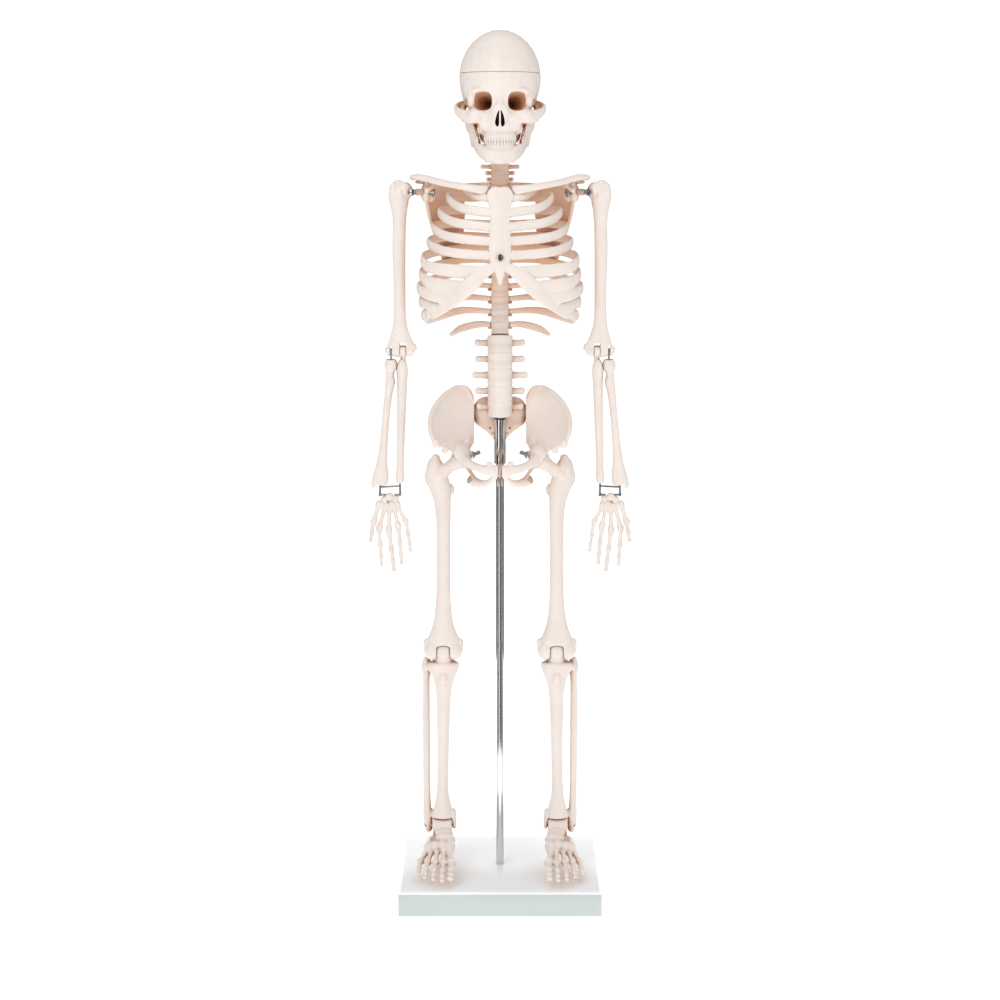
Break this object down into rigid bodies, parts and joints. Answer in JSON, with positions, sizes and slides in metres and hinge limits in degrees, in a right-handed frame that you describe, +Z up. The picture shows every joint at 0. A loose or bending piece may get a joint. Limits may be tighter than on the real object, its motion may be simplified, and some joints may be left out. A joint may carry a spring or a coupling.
{
  "type": "human skeleton model",
  "caption": "Half-size jointed human skeleton for teaching, hung on a metal rod that stands on a flat rectangular base.",
  "frame": {"origin": "centre of the base plate's underside, on the surface it stands on", "axes": "+Z up; the skeleton faces -Y; +X is its own left side, which is the viewer's right"},
  "size_m": [0.2576, 0.15, 0.85],
  "materials": {
    "bone_plastic": "satin cast vinyl in warm ivory",
    "white_board": "white laminate over board",
    "rod_chrome": "polished plating",
    "screw_chrome": "bright plated hardware",
    "steel": "plain steel",
    "dark_plastic": "dark moulded ring",
    "spacer_plastic": "pinkish brown tube"
  },
  "bodies": {
    "trunk": {"base_plate": "white_board", "base_washer": "steel", "base_bolt": "steel", "stand_rod": "rod_chrome", "rod_sleeve": "rod_chrome", "rod_collar": "dark_plastic", "sacrum": "bone_plastic", "pubic_disc": "bone_plastic", "lumbar_spine": "bone_plastic", "thoracic_spine": "bone_plastic", "cervical_spine": "bone_plastic", "rib_cage": "bone_plastic", "sternum_screw": "screw_chrome", "neck_pin": "steel", "hip_bone_left": "bone_plastic", "hip_bone_right": "bone_plastic", "floating_rib_left": "bone_plastic", "floating_rib_right": "bone_plastic", "clavicle_left": "bone_plastic", "clavicle_right": "bone_plastic", "scapula_left": "bone_plastic", "scapula_right": "bone_plastic"},
    "skull": {"cranium": "bone_plastic", "jaw_pin_left": "steel", "jaw_pin_right": "steel"},
    "jaw": {"mandible": "bone_plastic"},
    "cap": {"skull_cap": "bone_plastic"},
    "shoulder_left": {"shoulder_bolt_left": "screw_chrome", "shoulder_sleeve_left": "spacer_plastic"},
    "upper_arm_left": {"humerus_left": "bone_plastic", "shoulder_pin_left": "screw_chrome", "elbow_pin_left": "steel"},
    "forearm_left": {"ulna_left": "bone_plastic", "radius_left": "bone_plastic", "elbow_hook_left": "screw_chrome", "wrist_wire_left": "screw_chrome"},
    "hand_left": {"hand_left": "bone_plastic"},
    "thigh_left": {"femur_left": "bone_plastic", "hip_bolt_left": "steel", "knee_pin_left": "steel"},
    "lower_leg_left": {"shin_left": "bone_plastic", "ankle_pin_left": "steel"},
    "foot_left": {"foot_left": "bone_plastic"},
    "shoulder_right": {"shoulder_bolt_right": "screw_chrome", "shoulder_sleeve_right": "spacer_plastic"},
    "upper_arm_right": {"humerus_right": "bone_plastic", "shoulder_pin_right": "screw_chrome", "elbow_pin_right": "steel"},
    "forearm_right": {"ulna_right": "bone_plastic", "radius_right": "bone_plastic", "elbow_hook_right": "screw_chrome", "wrist_wire_right": "screw_chrome"},
    "hand_right": {"hand_right": "bone_plastic"},
    "thigh_right": {"femur_right": "bone_plastic", "hip_bolt_right": "steel", "knee_pin_right": "steel"},
    "lower_leg_right": {"shin_right": "bone_plastic", "ankle_pin_right": "steel"},
    "foot_right": {"foot_right": "bone_plastic"}
  },
  "joints": [
    {"name": "neck_turn", "type": "hinge", "parent": "trunk", "child": "skull", "pos_m": [0, 0.005, 0.754], "axis": [0, 0, 1], "range_deg": [-80, 80]},
    {"name": "jaw_open", "type": "hinge", "parent": "skull", "child": "jaw", "pos_m": [0, -0.005, 0.77], "axis": [1, 0, 0], "range_deg": [0, 20]},
    {"name": "cap_lift", "type": "slide", "parent": "skull", "child": "cap", "axis": [0, 0, 1], "range_m": [0, 0.06]},
    {"name": "shoulder_swing_left", "type": "hinge", "parent": "trunk", "child": "shoulder_left", "pos_m": [0.084, 0, 0.7005], "axis": [-1, 0, 0], "range_deg": [-30, 90]},
    {"name": "shoulder_spread_left", "type": "hinge", "parent": "shoulder_left", "child": "upper_arm_left", "pos_m": [0.084, 0, 0.7005], "axis": [0, -1, 0], "range_deg": [0, 25]},
    {"name": "elbow_bend_left", "type": "hinge", "parent": "upper_arm_left", "child": "forearm_left", "pos_m": [0.0967, 0, 0.549], "axis": [-1, 0, 0], "range_deg": [0, 110]},
    {"name": "wrist_bend_left", "type": "hinge", "parent": "forearm_left", "child": "hand_left", "pos_m": [0.1077, 0, 0.408], "axis": [-1, 0, 0], "range_deg": [-60, 60]},
    {"name": "hip_bend_left", "type": "hinge", "parent": "trunk", "child": "thigh_left", "pos_m": [0.039, -0.005, 0.444], "axis": [-0.9397, 0, 0.342], "range_deg": [-10, 90]},
    {"name": "knee_bend_left", "type": "hinge", "parent": "thigh_left", "child": "lower_leg_left", "pos_m": [0.056, -0.014, 0.254], "axis": [1, 0, 0], "range_deg": [0, 90]},
    {"name": "ankle_bend_left", "type": "hinge", "parent": "lower_leg_left", "child": "foot_left", "pos_m": [0.0585, 0.001, 0.0655], "axis": [1, 0, 0], "range_deg": [-15, 6]},
    {"name": "shoulder_swing_right", "type": "hinge", "parent": "trunk", "child": "shoulder_right", "pos_m": [-0.084, 0, 0.7005], "axis": [-1, 0, 0], "range_deg": [-30, 90]},
    {"name": "shoulder_spread_right", "type": "hinge", "parent": "shoulder_right", "child": "upper_arm_right", "pos_m": [-0.084, 0, 0.7005], "axis": [0, 1, 0], "range_deg": [0, 25]},
    {"name": "elbow_bend_right", "type": "hinge", "parent": "upper_arm_right", "child": "forearm_right", "pos_m": [-0.0967, 0, 0.549], "axis": [-1, 0, 0], "range_deg": [0, 110]},
    {"name": "wrist_bend_right", "type": "hinge", "parent": "forearm_right", "child": "hand_right", "pos_m": [-0.1077, 0, 0.408], "axis": [-1, 0, 0], "range_deg": [-60, 60]},
    {"name": "hip_bend_right", "type": "hinge", "parent": "trunk", "child": "thigh_right", "pos_m": [-0.039, -0.005, 0.444], "axis": [-0.9397, 0, -0.342], "range_deg": [-10, 90]},
    {"name": "knee_bend_right", "type": "hinge", "parent": "thigh_right", "child": "lower_leg_right", "pos_m": [-0.056, -0.014, 0.254], "axis": [1, 0, 0], "range_deg": [0, 90]},
    {"name": "ankle_bend_right", "type": "hinge", "parent": "lower_leg_right", "child": "foot_right", "pos_m": [-0.0585, 0.001, 0.0655], "axis": [1, 0, 0], "range_deg": [-15, 6]}
  ]
}
